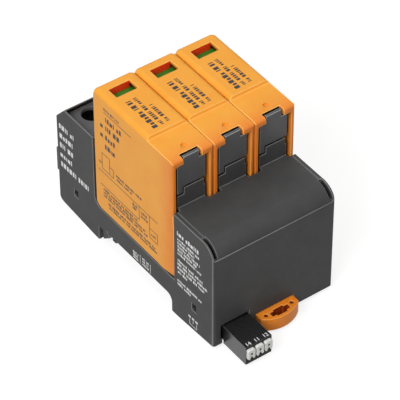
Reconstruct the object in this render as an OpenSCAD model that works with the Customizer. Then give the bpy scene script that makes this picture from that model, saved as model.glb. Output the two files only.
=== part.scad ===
// Surge arrester for a top-hat rail: three plug-in modules on one base, with a plug for the remote signal.
// X runs along the rail, Y towards the wire terminals and Z away from the rail.
// The origin is the centre of the rail seat. All sizes are in millimetres.

/* [Housing] */
// Width of one pole, the module pitch along the rail
pole_pitch = 18; // [17.5:0.5:20]
// Reach of the housing in front of the rail's centre line
front_reach = 46; // [45:0.5:52]
// Reach of the housing behind the rail's centre line
rear_reach = 52; // [51:0.5:58]
// Height of both towers above the rail seat
tower_h = 42.3; // [41:0.1:48]
// Wall of the housing
wall = 1.6; // [1.4:0.1:2]
// Radius of the two upright front edges
front_edge_r = 1.2; // [0.6:0.1:2]
// Radius of the front tower's shoulder
shoulder_r = 7; // [5.5:0.5:8]
// Drop from the tower's top to the crease on its front
shoulder_drop = 5.4; // [4:0.1:5.5]
// Thickness of the two cheeks beside the shoulder
cheek_t = 0.8; // [0.6:0.1:1.2]
// Thickness of the front cover
cover_t = 1.8; // [1.4:0.1:2.2]
// Set-back of the front cover behind the front face
cover_set = 0.3; // [0.1:0.1:0.6]
// Open joint between the front cover and each cheek
cheek_joint = 0.6; // [0.3:0.1:1]
// Height of the well floor above the rail seat
well_floor = 10; // [9.8:0.1:13]
// Thickness of the well floor
floor_t = 1.6; // [1.2:0.1:1.8]
// Rise of the underside from the recess to both ends
end_rise = 1.7; // [0.5:0.1:2.5]
// Radius of the lower rear corner
rear_corner_r = 2; // [1:0.1:3]
// Width of the snap windows in the sides
snap_w = 2.6; // [2:0.1:4]
// Height of the snap windows in the sides
snap_h = 3.4; // [2.4:0.1:4]

/* [Rail recess] */
// Width of the rail
rail_w = 35; // [34.5:0.1:35.5]
// Thickness of the rail's flange
rail_t = 1; // [0.8:0.1:1.2]
// Depth of the recess below the seat
rail_depth = 7; // [6.5:0.1:8]
// Grip of the hook and of the foot under the flange
hook_grip = 1.6; // [1:0.1:2]
// Free run in front of the rail, where the foot comes out
front_run = 3; // [2.5:0.1:4]
// Radius in the front corner of the recess
recess_r = 3; // [2:0.5:4]
// Height of the seat pad over the roof of the recess
pad_h = 0.4; // [0.2:0.1:0.6]
// Depth of the fixed hook along Y
hook_d = 4.6; // [4:0.1:5.5]
// Width of the slot behind the fixed hook
hook_slot = 2.8; // [2:0.1:3.5]

/* [Terminals] */
// Radius of the screw access holes
access_r = 3.9; // [3.9:0.1:4.5]
// Thickness of the rim beside and behind the terminal cover
rim_t = 0.7; // [0.6:0.1:1]
// Open slot behind the terminal cover
terminal_slot = 1.2; // [0.6:0.1:2]
// Sink of the terminal cover below the tower's rim
terminal_sink = 2.6; // [1.5:0.1:4]
// Drop of the slant on the rear rim
rear_slant_drop = 6; // [4:0.1:7]
// Run of the slant on the rear rim
rear_slant_run = 5.4; // [4:0.1:6]
// Radius of the wire entries
entry_r = 4.5; // [3.5:0.1:4.8]
// Height of the wire entries above the rail seat
entry_z = 14.6; // [14.2:0.1:16]
// Height of the frame round the wire entries
entry_frame_h = 11; // [10:0.1:12]
// Stand of the entry frame over the rear face
entry_proud = 0.9; // [0.5:0.1:1.5]
// Radius of the terminal screw's thread
screw_r = 2.5; // [2:0.1:2.6]
// Radius of the terminal screw's head
head_r = 3.6; // [3:0.1:3.8]
// Lift of the terminal cage, from open to clamped
cage_lift = 4; // [2:0.5:5]
// Side wall of the terminal cage
cage_wall = 1.2; // [1:0.1:1.5]
// Thickness of the copper strips
copper_t = 0.6; // [0.5:0.1:0.8]
// Thickness of the clamping tongue
tongue_t = 1; // [0.8:0.1:1.2]

/* [Plug modules] */
// Reach of a module in front of the rail's centre line
plug_front = 21.6; // [20.5:0.1:22.5]
// Reach of a module behind the rail's centre line
plug_back = 27.4; // [27:0.1:29]
// Top of a module above the rail seat
plug_top = 66.6; // [64:0.1:75]
// Drop of the finger step at the front of the top
step_drop = 1.3; // [0.8:0.1:2]
// Length of the finger step
step_l = 15.6; // [12:0.1:18]
// Open joint between two modules at their front
module_joint = 0.14; // [0.1:0.02:0.3]
// Relief of the module's sides behind the finger step
side_relief = 0.1; // [0.1:0.01:0.4]
// Length of the full-width front of a module
flare_l = 8.6; // [6:0.1:12]
// Wall of the hood
hood_wall = 1.3; // [1:0.1:1.5]
// Radius of the hood's top front edge
hood_edge_r = 1.3; // [0.6:0.1:2]
// Radius of the hood's two top side edges
hood_side_r = 2.2; // [1:0.1:2.4]
// Radius of the hood's top rear edge
hood_rear_r = 2; // [1.5:0.1:3]
// Radius of the hood's two upright rear edges
hood_back_r = 0.9; // [0.6:0.1:2]
// Radius over the hood's two top rear corners
hood_ball_r = 3; // [2:0.1:4]
// Radius of the hood's lower rear corner
hood_corner_r = 4; // [2:0.5:5]
// Thickness of the hood's two front posts along X
post_w = 1.6; // [1.6:0.1:2.2]
// Depth of the hood's two front posts along Y
post_d = 2.3; // [1.8:0.1:2.6]
// Distance from the front step's top to the front opening
brow_h = 2.7; // [2:0.1:4]
// Open gap on both sides of the front plate
plate_gap = 1.3; // [0.6:0.1:1.6]
// Half width of the notch for the pull tab
notch_half = 4; // [3:0.1:4.5]
// Depth of the notch for the pull tab
notch_d = 2.9; // [2.8:0.1:3.2]
// Set-back of the black front plate behind the hood's front
plate_set = 0.9; // [0.4:0.1:1.2]
// Thickness of the front plate
plate_t = 1.2; // [1:0.1:1.4]
// Depth of the open gap behind the front plate
plate_depth = 3.4; // [1:0.1:3.6]
// Height of the base's tongues over the tower
tongue_h = 8.3; // [6:0.1:10]
// Thickness of the base's tongues
tongue_wall = 0.6; // [0.5:0.1:1.2]
// Step of the seam beside each tongue
seam_step = 2.9; // [2:0.1:4]
// Length of the status window along X
window_l = 9.2; // [7:0.1:10]
// Width of the status window along Y
window_w = 5.3; // [4:0.1:6]
// Distance from the module's rear to the window
window_inset = 4.5; // [4:0.1:6]
// Depth from the top to the status flag
flag_sink = 3.2; // [3:0.1:3.8]
// Width of the varistor block along Y
varistor_l = 34; // [28:0.5:34]
// Height of the varistor block
varistor_h = 35; // [28:0.5:38]
// Thickness of the varistor block along X
varistor_t = 7; // [5:0.1:7]
// Width of the contact blades
blade_w = 7; // [5:0.1:8]
// Thickness of the contact blades
blade_t = 1; // [0.8:0.1:1.2]

/* [Signal plug] */
// Distance from the side of the housing to the plug's middle
signal_inset = 10; // [9.5:0.1:10.5]
// Pitch of the plug's three contacts
signal_pitch = 3.81; // [3.5:0.01:3.81]
// Height of the plug
signal_h = 8.5; // [8:0.1:9]
// Lowest point of the plug below the rail seat
signal_low = 5.3; // [5:0.1:5.4]
// Reach of the plug in front of the housing
signal_reach = 13.6; // [12:0.1:16]
// Length of the plug inside the housing
signal_entry = 8.8; // [8:0.1:9.5]
// Open gap between the plug's outer side and the housing
signal_gap = 1; // [0.5:0.1:1.2]
// Height of the push pieces
push_h = 4.6; // [4:0.1:5]
// Travel of the push pieces
push_travel = 1.2; // [0.5:0.1:1.5]
// Stand of the push pieces over the plug's front
push_proud = 1.1; // [0.6:0.1:1.4]

/* [Rail foot] */
// Half width of the foot's head
foot_half = 8.4; // [7.5:0.1:9]
// Offset of the foot from the middle
foot_x = 0.5; // [0:0.1:0.8]
// Reach of the foot's head in front of the housing
foot_reach = 6.3; // [5:0.1:9]
// Height of the foot's head
foot_h = 5.8; // [5:0.1:6]
// Top of the foot's head above the rail seat
foot_top = 0.2; // [0:0.1:0.4]

/* [Clearances] */
// Gap round parts that are pressed or snapped together
snug = 0.1; // [0.06:0.02:0.14]
// Gap round parts that slide past each other
slide = 0.2; // [0.15:0.05:0.3]
// Open gap round a module in the well
well_gap = 0.6; // [0.4:0.1:1]
// Radial gap between the screw and its cage
thread_gap = 0.08; // [0.05:0.01:0.1]

/* [Hidden] */
$fn = 64;
poles = 3;
far = 100;
over = 1;

// Housing
body_w = poles * pole_pitch;
side = body_w / 2;
inner = side - wall;
front_y = -front_reach;
back_y = rear_reach;
end_z = end_rise - rail_depth;
crease_z = tower_h - shoulder_drop;
well_front = -plug_front - well_gap;
well_back = plug_back + well_gap;
under_floor = well_floor - floor_t;
cheek_in = side - cheek_t;
joint_end = front_y + cover_set + shoulder_r + cheek_joint;
snap_front_in = 11.8;
snap_rear_in = 11.5;
snap_ys = [front_y + snap_front_in, back_y - snap_rear_in];
snap_z = 5.3;
snap_arm_t = 1.3;
snap_arm_half = 2;
lug_top = snap_z - 0.2;
function pole_x(i) = (i - (poles - 1) / 2) * pole_pitch;

// Rail recess
roof_z = pad_h;
recess_front = -rail_w / 2 - front_run;
hook_y = rail_w / 2 + 1;
hook_slot_y = hook_y + hook_d;
recess_back = hook_slot_y + hook_slot;
hook_low = -4.6;
hook_top = -0.9;
hook_nose = 2.3;
slot_top = -0.2;
grip_z = -rail_t - 0.3;
heel = 3;
bottom_top = roof_z + wall;
pad_x = inner - 5;
pad_y = rail_w / 2 - 3;

// Height of the underside at y
function underside(y) = end_z - end_rise * (y > 0
    ? (back_y - y) / (back_y - recess_back - heel)
    : (y - front_y) / (recess_front - heel - front_y));

// Terminals
terminal_z = tower_h - terminal_sink;
terminal_cover_t = 2;
hole_rim = 1.4;
rim_y = back_y - rear_slant_run;
slant = rear_slant_run / rear_slant_drop;
terminal_back = rim_y - rim_t + terminal_sink * slant - terminal_slot;
seat_z = terminal_z - terminal_cover_t - snug;
seat_side = side - rim_t;
screw_y = terminal_back - hole_rim - access_r;
divider_t = 1.5;
entry_lap = 0.4;
entry_side = inner - 1;
wire_gap = 0.5;
tongue_z = entry_z + entry_r + wire_gap;
tongue_top = tongue_z + tongue_t;
cage_half = head_r + cage_wall - slide;
cage_in = cage_half - cage_wall;
cage_d = 10;
cage_floor = entry_z - entry_r - 2 * wire_gap;
cage_roof = tongue_top + 2 * slide;
cage_block = 4;
cage_top = cage_roof + cage_block;
head_z = cage_top + cage_lift + 3 * slide;
head_h = 3.4;
recess_w = 1.1;
recess_d = 1.5;
line_half = cage_in - 2 * slide;
riser_gap = 3.4;
riser_y = max(screw_y - cage_d / 2 - riser_gap, well_back + wall + snug);
strip_z = bottom_top + slide;
strip_top = strip_z + copper_t;

// Plug modules
hood_low = well_floor + 0.4;
hood_toe_r = 1;
hood_front_r = 1;
toe_y = 2.3 - plug_front;
toe_lean = 6.9;
toe_turn = 7.4;
flare_y = flare_l - plug_front;
flare_run = 1;
hood_half = (pole_pitch - module_joint) / 2;
hood_slim = hood_half - side_relief;
step_y = -plug_front + step_l;
step_z = plug_top - step_drop;
brow_z = step_z - brow_h;
opening_half = hood_half - post_w;
plate_half = opening_half - plate_gap;
brow_r = 1.2;
plate_y = -plug_front + plate_set;
seam_z = tower_h + tongue_h - seam_step;
tongue_left = -3.2;
tongue_right = 5.5;
seam = 0.7;
tongue_seam = 1;
rib_in = 1.8;
plate_r = 1.2;
tab_drop = 0.3;
dimple_r = 1.15;
dimple_d = 0.9;
dimple_x = 0.4;
dimple_y = 5.9 - plug_front;
spine_y = plate_y + plate_t + plate_depth;
spine_t = 1;
hood_inner = hood_slim - hood_wall;
lip = 0.4;
lip_d = 1.6;
carrier_low = hood_low + slide;
carrier_t = 2.5;
carrier_top = carrier_low + carrier_t;
varistor_low = carrier_top + 3.5;
varistor_gap = 0.8;
varistor_mid = spine_y + spine_t + varistor_gap + varistor_l / 2;
varistor_top = varistor_low + varistor_h;
varistor_r = 3;
post_in = 3;
post_l = 2.4;
post_ys = [varistor_mid - varistor_l / 2 + post_in, varistor_mid + varistor_l / 2 - post_in - post_l];
blade_x = varistor_t / 2 + snug;
blade_low = strip_top + slide;
front_blade_in = 4;
rear_blade_in = 6;
blade_front = varistor_mid - varistor_l / 2 + front_blade_in;
blade_back = varistor_mid + varistor_l / 2 - rear_blade_in;
clip_half = blade_t / 2 + snug + copper_t;
clip_w = blade_w - 0.8;
plate_in = 7;
plate_end = varistor_mid + varistor_l / 2 - plate_in;
plate_inset = 6;
solder_z = varistor_low + varistor_h / 2;
solder_h = 2;
spring_half = 3;
spring_x = blade_x + blade_t + snug;
flag_z = plug_top - flag_sink;
flag_t = 1;
window_back = plug_back - window_inset;
window_front = window_back - window_w;
window_x = -0.2;
window_left = window_x - window_l / 2;
window_right = window_x + window_l / 2;
field_t = 0.55;
field_edge = 0.6;
flag_travel = window_w + 1.2;
finger_half = 0.8;

// Signal plug and its switch
signal_x = signal_inset - side;
signal_w = 3 * signal_pitch;
signal_top = signal_h - signal_low;
signal_mid = signal_top - signal_h / 2;
signal_front = front_y - signal_reach;
signal_end = front_y + wall + signal_entry;
gap_low = end_z + 2.2;
neck = 0.4;
header_back = signal_end + 2;
header_floor = 1.6;
header_wall = 0.7;
header_half = signal_w / 2 + header_wall;
pin_z = signal_mid + 0.2;
pin_half = 0.5;
pin_in = 2;
board_t = 1.6;
board_y = header_back + snug;
board_low = wall - rail_depth + 2;
board_top = 22;
clamp_half = 1.3;
clamp_high = clamp_half + 0.8;
clamp_t = 0.4;
clamp_in = 9.6;
clamp_l = 8.6;
clamp_y = [signal_front + clamp_in, signal_front + clamp_in + clamp_l];
push_back = signal_front + 7;
push_face = signal_front - push_proud;
push_half = signal_pitch / 2 - 0.3;
push_gap = 0.1;
push_high = signal_top - 1.1;
push_low = push_high - push_h;
push_notch = [0.8, 1.7];
push_bevel = 0.5;
push_eye = 2.6;
eye_r = 0.45;
eye_d = 2;
wire_half = 0.9;
wire_low = push_low - 1.4;
wire_top = push_low + 0.4;
switch_y = board_y + board_t + snug;
switch_d = 6.2;
switch_half = 3.2;
switch_below = 4;
switch_above = 9;
plunger_half = 0.8;
plunger_in = 1.4;
bar_travel = 1.2;
plunger_y = switch_y + switch_d + bar_travel;
bar_z = strip_top + 0.5;
bar_t = 1.6;
bar_y = -0.5;
bar_half = 1.5;
bar_arm_x = pole_x(0) - 1.9;
bar_arm_half = 1.7;

// Rail foot
foot_low = foot_top - foot_h;
tongue_half = 5.4;
flange_half = 7.2;
flange_low = -3.2;
foot_deck = grip_z - 0.1;
foot_sole = foot_low + 0.6;
foot_waist = foot_half - 3.2;
foot_cheek = 3.2;
foot_bow = 13;
foot_run = 0.3;
latch_y = -rail_w / 2 + hook_grip;
latch_l = 4;
latch_nose = 0.8;
pocket_y = front_y - 3.2;
pocket_half = 4;
pocket_w = 2;
pocket_mid_half = 2.2;
pocket_mid_w = 3.4;
dot_x = 5.8;
pocket_floor = 1;
dot_r = 0.75;
dot_d = 3.5;
arm_in = 0.5;
arm_root = 6;
arm_bend = 9;
arm_tip = 15;
arm_bow = 2.4;
arm_back = 0.8;
arm_t = 1;

// Colours as they look
housing_grey = "#4a4a4a";
hood_orange = "#f4a347";
foot_orange = "#e07f2a";
front_black = "#3c3c3d";
plug_black = "#232323";
push_grey = "#d2d1cb";
copper = "#b87349";
zinc_steel = "#b9bcc0";

// Basic forms
// A box between two corners, given as ranges along X, Y and Z
module block(x, y, z)
    translate([x[0], y[0], z[0]])
        cube([x[1] - x[0], y[1] - y[0], z[1] - z[0]]);

// An outline of (y, z) points drawn out along X, w wide about x
module across(w, x = 0)
    translate([x - w / 2, 0, 0])
        rotate([90, 0, 90]) linear_extrude(w) children();

// An outline of (x, z) points drawn out along Y
module along(y)
    translate([0, y[1], 0])
        rotate([90, 0, 0]) linear_extrude(y[1] - y[0]) children();

// What a round of radius r takes off a corner at p, which opens towards dir
module corner_cut(p, dir, r)
    if (r > 0)
        difference() {
            translate([
                dir[0] > 0 ? p[0] - over : p[0] - r,
                dir[1] > 0 ? p[1] - over : p[1] - r
            ]) square(r + over);
            translate([p[0] + dir[0] * r, p[1] + dir[1] * r]) circle(r);
        }

// A rectangle with a radius for each corner, from the lower left one round
module soft_rect(u, v, r)
    difference() {
        translate([u[0], v[0]]) square([u[1] - u[0], v[1] - v[0]]);
        corner_cut([u[0], v[0]], [1, 1], r[0]);
        corner_cut([u[1], v[0]], [-1, 1], r[1]);
        corner_cut([u[1], v[1]], [-1, -1], r[2]);
        corner_cut([u[0], v[1]], [1, -1], r[3]);
    }

// Base
// The side of the housing: two towers, the well between them and the rail recess below
module side_outline()
    difference() {
        polygon([
            [front_y, end_z], [recess_front - heel, -rail_depth], [recess_back + heel, -rail_depth],
            [back_y, end_z], [back_y, tower_h - rear_slant_drop], [rim_y, tower_h], [front_y, tower_h]
        ]);
        corner_cut([back_y, end_z], [-1, 1], rear_corner_r);
        corner_cut([front_y, tower_h], [1, -1], shoulder_r);
        recess_outline();
        soft_rect([well_front, well_back], [well_floor, far], [0, hood_corner_r, 0, 0]);
    }

// The space that the rail, its hook and the slot behind the hook take
module recess_outline() {
    soft_rect([recess_front, hook_y], [-far, roof_z], [0, 0, 0, recess_r]);
    polygon([
        [hook_y - over, hook_top], [hook_y, hook_top], [hook_slot_y, hook_low],
        [hook_slot_y, -far], [hook_y - over, -far]
    ]);
    translate([hook_slot_y, -far]) square([hook_slot, far + slot_top]);
    polygon([
        [hook_y - 0.6, -1.2], [hook_y + 0.2, -1.4],
        [hook_y + 2, roof_z + 0.6], [hook_y + 1.4, roof_z + 0.9]
    ]);
}

// The terminal chamber, with its wall leaning in under the slanted rim
module rear_chamber_outline()
    polygon([
        [well_back + wall, -far], [back_y - wall, -far],
        [back_y - wall, tower_h - rear_slant_drop],
        [rim_y - wall - slant * over, tower_h + over],
        [well_back + wall, tower_h + over]
    ]);

// The wider seat of the terminal cover, which leaves a thin rim
module terminal_seat_outline()
    polygon([
        [well_back + wall, seat_z], [rim_y - rim_t + slant * (tower_h - seat_z), seat_z],
        [rim_y - rim_t - slant * over, tower_h + over], [well_back + wall, tower_h + over]
    ]);

module base_shell()
    color(housing_grey) difference() {
        union() {
            difference() {
                intersection() {
                    across(body_w) side_outline();
                    translate([0, 0, -far])
                        linear_extrude(2 * far)
                            soft_rect([-side, side], [front_y, back_y],
                                [front_edge_r, front_edge_r, 0, 0]);
                }
                block([-inner, inner], [front_y + wall, well_front - wall], [-far, far]);
                across(2 * inner) rear_chamber_outline();
                across(2 * seat_side) terminal_seat_outline();
                block([-inner, inner], [well_front - wall - over, well_back + wall + over],
                    [-far, under_floor]);
                block([-cheek_in, cheek_in], [front_y - over, joint_end], [crease_z, far]);
                block([-inner, inner], [well_front - wall - over, well_front + over],
                    [tower_h - cover_t - snug, far]);
                front_openings();
                floor_slots();
                snap_windows(wall + 2 * over);
            }
            terminal_dividers();
        }
        entry_opening();
    }

// Openings in the front face for the signal plug and the foot, both open below
module front_openings() {
    block([signal_x - signal_w / 2 - slide, signal_x + signal_w / 2 + slide],
        [front_y - over, front_y + wall + over], [-far, signal_top + header_wall + slide]);
    block([signal_x - signal_w / 2 - signal_gap, signal_x],
        [front_y - over, front_y + wall + over], [gap_low, signal_top + header_wall + slide]);
    block([foot_x - foot_half - slide, foot_x + foot_half + slide],
        [front_y - over, front_y + wall + over], [-far, foot_top + slide]);
}

// Slots in the well floor for the blades and for the fingers of the signal bar
module floor_slots()
    for (i = [0 : poles - 1]) {
        block([pole_x(i) + blade_x - slide, pole_x(i) + blade_x + blade_t + slide],
            [blade_front - blade_w / 2 - slide, blade_front + blade_w / 2 + slide],
            [under_floor - over, well_floor + over]);
        block([pole_x(i) - blade_x - blade_t - slide, pole_x(i) - blade_x + slide],
            [blade_back - blade_w / 2 - slide, blade_back + blade_w / 2 + slide],
            [under_floor - over, well_floor + over]);
        block([pole_x(i) - finger_half - slide, pole_x(i) + finger_half + slide],
            [bar_y - finger_half - bar_travel - slide, bar_y + finger_half + slide],
            [under_floor - over, well_floor + over]);
    }

module entry_opening()
    block([-entry_side, entry_side], [back_y - wall, back_y + over],
        [entry_z - entry_frame_h / 2 + entry_lap, entry_z + entry_frame_h / 2 - entry_lap]);

// The windows in both sides, where the bottom part's lugs snap in
module snap_windows(depth)
    for (s = [-1, 1], y = snap_ys)
        translate([s * (inner + wall / 2), y, snap_z])
            cube([depth, snap_w, snap_h], center = true);

// The two walls between the terminal chambers, which run into the rear wall
module terminal_dividers()
    for (i = [0 : poles - 2])
        across(divider_t, pole_x(i) + pole_pitch / 2)
            polygon([
                [well_back + wall - over, under_floor], [back_y - wall / 2, under_floor],
                [back_y - wall / 2, tower_h - rear_slant_drop],
                [rim_y + slant * (tower_h - seat_z) - wall / 2, seat_z], [well_back + wall - over, seat_z]
            ]);

// The bottom part: floor plates, the rail's roof, the fixed hook, the foot's guide and the snap lugs
module base_bottom()
    color(plug_black)
        difference() {
            union() {
                across(2 * (inner - snug)) bottom_outline();
                block([-pad_x, pad_x], [-pad_y, pad_y], [0, roof_z + over]);
                for (s = [-1, 1]) {
                    block(s > 0 ? [foot_x + tongue_half + foot_run, foot_x + flange_half + slide]
                            : [foot_x - flange_half - slide, foot_x - tongue_half - foot_run],
                        [front_y + wall + slide, recess_front - wall],
                        [-rail_depth + 0.9, flange_low - slide]);
                    block([s * pole_pitch / 2 - 1, s * pole_pitch / 2 + 1],
                        [bar_y - bar_half, bar_y + bar_half], [roof_z, bar_z - slide]);
                    snap_arms(s);
                }
            }
            foot_channel();
            block([signal_x - header_half - slide, signal_x + header_half + slide],
                [-far, header_back + slide], [-far, signal_top]);
        }

// The bent section of the bottom part
module bottom_outline() {
    difference() {
        polygon([
            [front_y + wall + snug, end_z + 0.1], [recess_front - heel, -rail_depth],
            [recess_back + heel, -rail_depth], [back_y - wall - snug, end_z + 0.1],
            [back_y - wall - snug, end_z + wall], [recess_back + heel, wall - rail_depth],
            [recess_back + wall, wall - rail_depth], [recess_back + wall, bottom_top],
            [recess_front - wall, bottom_top], [recess_front - wall, wall - rail_depth],
            [recess_front - heel, wall - rail_depth], [front_y + wall + snug, end_z + wall]
        ]);
        recess_outline();
    }
    polygon([
        [rail_w / 2 - hook_grip, grip_z], [hook_y + over, grip_z],
        [hook_y + over, grip_z - hook_nose], [rail_w / 2, grip_z - hook_nose],
        [rail_w / 2 - hook_grip, grip_z - 1]
    ]);
}

// The upright arm and lug of each snap window
module snap_arms(s)
    for (y = snap_ys) {
        block(s > 0 ? [inner - snug - snap_arm_t, inner - snug] : [snug - inner, snug + snap_arm_t - inner],
            [y - snap_arm_half, y + snap_arm_half], [underside(y) + wall / 2, lug_top]);
        block(s > 0 ? [inner - snap_arm_t, inner + wall / 2] : [-inner - wall / 2, snap_arm_t - inner],
            [y - snap_w / 2 + snug, y + snap_w / 2 - snug],
            [snap_z - snap_h / 2 + snug, lug_top]);
    }

// The channel that the foot's tongue slides in, open below
module foot_channel() {
    block([foot_x - tongue_half - foot_run, foot_x + tongue_half + foot_run], [-far, recess_front + over],
        [-far, foot_deck + slide]);
    block([foot_x - foot_half - slide, foot_x + foot_half + slide], [-far, front_y + wall + 1],
        [-far, foot_deck + 2]);
}

// The blank cover of the front tower, with a tongue for each pole that stands up into the hood's opening
module front_cover()
    color(housing_grey)
        union() {
            difference() {
                across(2 * (inner - snug)) cover_outline();
                for (s = [-1, 1])
                    translate([s * inner, front_y, tower_h])
                        cube([2 * cheek_joint, 2 * (joint_end - front_y), 2 * shoulder_r], center = true);
            }
            for (i = [0 : poles - 1]) {
                block([pole_x(i) - plate_half, pole_x(i) + plate_half],
                    [well_front - over, plate_y + plate_t], [tower_h - cover_t, tower_h]);
                along([plate_y, plate_y + tongue_wall])
                    translate([pole_x(i), 0]) tongue_outline();
            }
        }

module cover_outline()
    difference() {
        soft_rect([front_y + cover_set, well_front], [crease_z + snug, tower_h], [0, 0, 0, shoulder_r]);
        soft_rect([front_y + cover_set + cover_t, well_front + over], [crease_z - over, tower_h - cover_t],
            [0, 0, 0, shoulder_r - cover_t]);
    }

module tongue_outline()
    polygon([
        [-plate_half, tower_h - cover_t], [plate_half, tower_h - cover_t],
        [plate_half, seam_z], [tongue_right, seam_z],
        [tongue_right, seam_z + seam_step], [tongue_left, seam_z + seam_step],
        [tongue_left, seam_z], [-plate_half, seam_z]
    ]);

// The sunk cover over the terminals, with the screw holes
module terminal_cover()
    color(housing_grey)
        difference() {
            block([snug - seat_side, seat_side - snug], [well_back + wall + snug, terminal_back],
                [terminal_z - terminal_cover_t, terminal_z]);
            for (i = [0 : poles - 1])
                translate([pole_x(i), screw_y, terminal_z - terminal_cover_t - over])
                    cylinder(r = access_r, h = terminal_cover_t + 2 * over);
        }

// The frame round the wire entries, snapped into the rear face
module wire_entry_frame()
    color(housing_grey)
        difference() {
            union() {
                block([-side, side], [back_y, back_y + entry_proud],
                    [entry_z - entry_frame_h / 2, entry_z + entry_frame_h / 2]);
                block([snug - entry_side, entry_side - snug], [back_y - wall, back_y + entry_proud],
                    [entry_z - entry_frame_h / 2 + entry_lap + snug,
                        entry_z + entry_frame_h / 2 - entry_lap - snug]);
            }
            for (i = [0 : poles - 1])
                translate([pole_x(i), back_y + entry_proud + over, entry_z])
                    rotate([90, 0, 0]) cylinder(r = entry_r, h = wall + entry_proud + 2 * over);
        }

// Current path in the base
// Two leaves that grip a blade, standing on a strip
module blade_clip(x, y)
    for (s = [-1, 1])
        block(s > 0 ? [x + clip_half - copper_t, x + clip_half] : [x - clip_half, x - clip_half + copper_t],
            [y - clip_w / 2, y + clip_w / 2], [strip_z, under_floor - slide]);

module star_busbar()
    color(copper)
        union() {
            block([pole_x(0) + blade_x + blade_t / 2 - clip_half,
                    pole_x(poles - 1) + blade_x + blade_t / 2 + clip_half],
                [blade_front - clip_w / 2, blade_front + clip_w / 2], [strip_z, strip_top]);
            for (i = [0 : poles - 1])
                blade_clip(pole_x(i) + blade_x + blade_t / 2, blade_front);
        }

// From the rear blade's clip along the floor and up to the tongue that the wire is clamped on
module line_contact(i)
    color(copper)
        translate([pole_x(i), 0, 0])
            union() {
                blade_clip(-blade_x - blade_t / 2, blade_back);
                block([-blade_x - blade_t / 2 - clip_half, -blade_x - blade_t / 2 + clip_half],
                    [blade_back - clip_w / 2, riser_y + tongue_t], [strip_z, strip_top]);
                block([-blade_x - blade_t / 2 - clip_half, line_half],
                    [riser_y - line_half, riser_y + tongue_t], [strip_z, strip_top]);
                block([-line_half, line_half], [riser_y, riser_y + tongue_t], [strip_z, tongue_top]);
                block([-line_half, line_half], [riser_y, screw_y + line_half], [tongue_z, tongue_top]);
            }

// The rising cage that pulls the wire up against the tongue
module terminal_cage(i)
    color(zinc_steel)
        translate([pole_x(i), screw_y, 0])
            difference() {
                block([-cage_half, cage_half], [-cage_d / 2, cage_d / 2], [cage_floor - cage_wall, cage_top]);
                block([-cage_in, cage_in], [-cage_d, cage_d], [cage_floor, cage_roof]);
                translate([0, 0, cage_roof - over])
                    cylinder(r = screw_r + thread_gap, h = cage_top - cage_roof + 2 * over);
            }

// The captive screw, with a crossed recess in its head
module terminal_screw(i)
    color(zinc_steel)
        translate([pole_x(i), screw_y, 0])
            difference() {
                union() {
                    translate([0, 0, tongue_top + snug])
                        cylinder(r = screw_r, h = head_z - tongue_top);
                    translate([0, 0, head_z]) cylinder(r = head_r, h = head_h);
                }
                for (a = [0, 90])
                    rotate([0, 0, a])
                        translate([0, 0, head_z + head_h])
                            cube([head_r * 1.4, recess_w, 2 * recess_d], center = true);
            }

// Rail foot
// The orange slider: a head to pull with a screwdriver, a tongue with the latch and two spring arms
module rail_foot()
    color(foot_orange)
        translate([foot_x, 0, 0])
            union() {
                difference() {
                    translate([0, 0, foot_low]) linear_extrude(foot_h) foot_head_outline();
                    foot_pockets();
                }
                block([-tongue_half, tongue_half], [front_y + wall, latch_y + over / 2],
                    [foot_sole, foot_deck]);
                latch();
                block([-flange_half, flange_half], [front_y + wall, recess_front - wall - slide],
                    [flange_low, foot_deck]);
                for (s = [-1, 1])
                    translate([0, 0, flange_low])
                        linear_extrude(foot_deck - flange_low) spring_arm(s);
            }

// The head from above: straight cheeks, then slanted to a narrower front with round corners
module foot_head_outline()
    intersection() {
        polygon([
            [-foot_half, front_y + wall + 0.8], [-foot_half, front_y - foot_cheek],
            [-foot_waist, front_y - foot_reach], [foot_waist, front_y - foot_reach],
            [foot_half, front_y - foot_cheek], [foot_half, front_y + wall + 0.8]
        ]);
        translate([0, front_y - foot_reach + foot_bow]) circle(foot_bow);
    }

// The screwdriver slot across the head and the small hole at each end of it
module foot_pockets() {
    block([-pocket_half, pocket_half], [pocket_y - pocket_w / 2, pocket_y + pocket_w / 2],
        [foot_low + pocket_floor, foot_top + over]);
    block([-pocket_mid_half, pocket_mid_half], [pocket_y - pocket_mid_w / 2, pocket_y + pocket_mid_w / 2],
        [foot_low + pocket_floor, foot_top + over]);
    for (s = [-1, 1])
        translate([s * dot_x, pocket_y + dot_r, foot_top - dot_d]) cylinder(r = dot_r, h = dot_d + over);
}

// The nose that grips the rail's flange, slanted below so that it snaps on
module latch()
    across(2 * tongue_half)
        polygon([
            [latch_y - latch_l, foot_deck], [latch_y, foot_deck], [latch_y, foot_deck - latch_nose],
            [latch_y - latch_l + over, foot_sole], [latch_y - latch_l, foot_sole]
        ]);

module spring_arm(s)
    polygon([
        [s * (flange_half - arm_in), front_y + arm_root], [s * (flange_half + arm_bow), front_y + arm_bend],
        [s * (flange_half + arm_back), front_y + arm_tip],
        [s * (flange_half + arm_back + arm_t), front_y + arm_tip],
        [s * (flange_half + arm_bow + arm_t), front_y + arm_bend],
        [s * (flange_half - arm_in), front_y + arm_root - arm_t]
    ]);

// Remote signal
// The board stands behind the header and carries the switch on its other face
module signal_board()
    color("#2f6b3c")
        difference() {
            block([signal_x - header_half, signal_x + header_half],
                [board_y, board_y + board_t], [board_low, board_top]);
            pin_holes();
        }

module signal_header()
    color(plug_black)
        difference() {
            block([signal_x - header_half, signal_x + header_half],
                [front_y + wall + snug, header_back], [-signal_low, signal_top + header_wall]);
            block([signal_x - signal_w / 2 + neck - slide, signal_x + signal_w / 2 - neck + slide],
                [front_y, header_back - header_floor],
                [2 * neck - signal_low - slide, signal_top - neck + slide]);
            pin_holes();
        }

function contact_x(k) = signal_x + (k - 1) * signal_pitch;

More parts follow.
